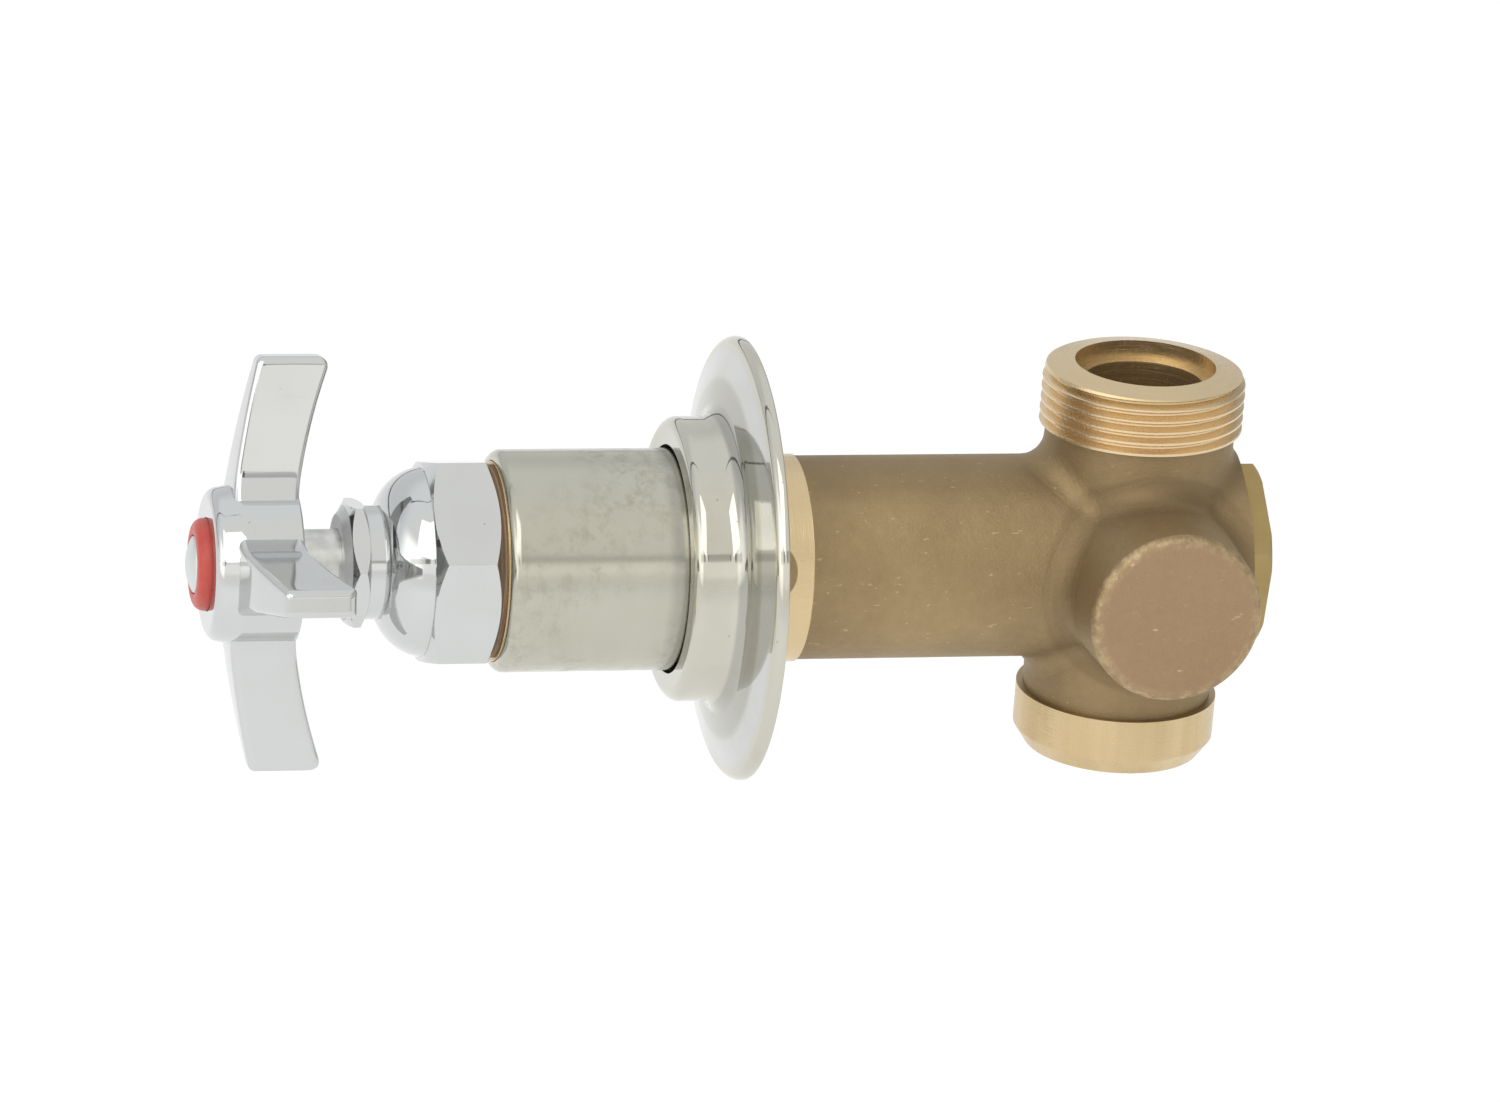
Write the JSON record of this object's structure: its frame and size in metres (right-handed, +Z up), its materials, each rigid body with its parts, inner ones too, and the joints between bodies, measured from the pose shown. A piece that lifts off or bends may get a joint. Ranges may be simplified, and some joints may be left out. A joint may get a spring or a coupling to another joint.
{
  "type": "concealed diverter valve",
  "caption": "Through-wall diverter valve: cast tee body with a long barrel, screw-down stem, cross handle, satin sleeve and a round wall flange that slides along it.",
  "frame": {"origin": "centre of the lower outlet's mouth", "axes": "+X along the valve's axis from the handle into the wall, +Z up from the lower outlet to the upper one, +Y towards the side inlet, with the blank boss on -Y"},
  "size_m": [0.1743, 0.0714, 0.0714],
  "materials": {
    "cast_brass": "as cast, fine sand grain",
    "plug_brass": "satin",
    "turned_brass": "turned",
    "polished_chrome": "polished",
    "satin_chrome": "satin",
    "satin_stem": "satin",
    "steel": "plain",
    "rubber": "matt",
    "brown_fibre": "matt",
    "packing": "matt",
    "red_plastic": "semi-gloss",
    "silver_plastic": "satin"
  },
  "bodies": {
    "valve": {"valve_body": "cast_brass", "rear_plug": "plug_brass", "plug_o_ring": "rubber", "seat_ring": "turned_brass", "bonnet": "polished_chrome", "bonnet_gasket": "brown_fibre", "packing_washer": "turned_brass", "packing_rings": "packing", "gland_ring": "turned_brass", "packing_nut": "polished_chrome", "spindle_guide": "turned_brass", "sleeve": "satin_chrome"},
    "wall_flange": {"escutcheon": "polished_chrome", "flange_o_ring": "rubber"},
    "disc": {"disc_holder": "turned_brass", "snap_ring": "steel", "seat_washer": "rubber", "washer_nut": "turned_brass"},
    "handle_set": {"spindle": "satin_stem", "handle": "polished_chrome", "handle_screw": "steel", "screw_washer": "steel", "index_ring": "red_plastic", "index_button": "silver_plastic"}
  },
  "joints": [
    {"name": "flange_slide", "type": "slide", "parent": "valve", "child": "wall_flange", "axis": [1, 0, 0], "range_m": [-0.022, 0.006]},
    {"name": "stem_travel", "type": "slide", "parent": "valve", "child": "disc", "axis": [1, 0, 0], "range_m": [0, 0.00445]},
    {"name": "handle_turn", "type": "hinge", "parent": "disc", "child": "handle_set", "pos_m": [-0.1374, 0, 0.0327], "axis": [1, 0, 0], "range_deg": [0, 630]}
  ],
  "couplings": [
    {"joint": "stem_travel", "follows": "handle_turn", "m_per_rad": 0.00040425}
  ]
}
